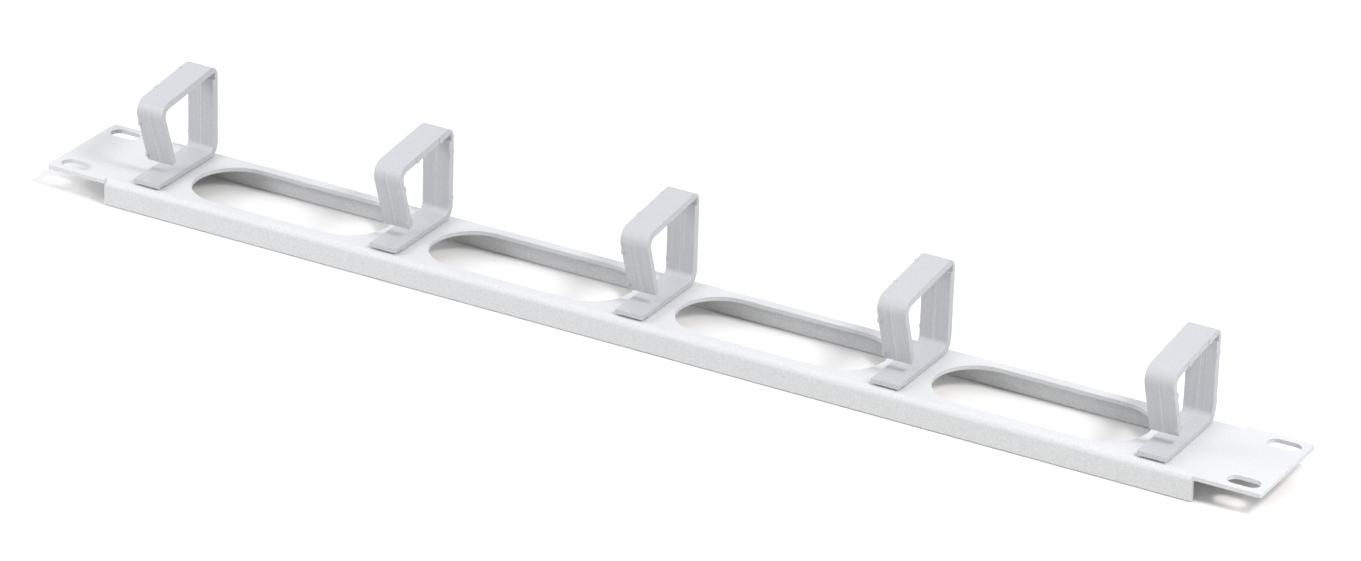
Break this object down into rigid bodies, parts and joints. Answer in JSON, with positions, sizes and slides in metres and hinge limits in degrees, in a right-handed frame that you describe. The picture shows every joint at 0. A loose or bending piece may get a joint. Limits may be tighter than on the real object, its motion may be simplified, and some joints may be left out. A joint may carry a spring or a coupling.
{
  "type": "rack cable management panel",
  "caption": "Slim 19 inch rack panel with rear flanges, obround cable openings and open plastic cable rings.",
  "frame": {"origin": "centre of the footprint, at the free edges of the two flanges that the part lies on", "axes": "+X along the panel, to its right seen from the front with the rings' entry gaps down; +Y across the panel, from the rings' entry gaps to their closed backs; +Z out of the panel's front face, along the rings"},
  "size_m": [0.4826, 0.0434, 0.0451],
  "materials": {
    "panel_paint": "fine textured pale grey powder coat on sheet steel",
    "ring_plastic": "satin moulded plastic, pale cool grey"
  },
  "bodies": {
    "root": {"panel": "panel_paint", "ring_1": "ring_plastic", "ring_2": "ring_plastic", "ring_3": "ring_plastic", "ring_4": "ring_plastic", "ring_5": "ring_plastic"}
  },
  "joints": []
}
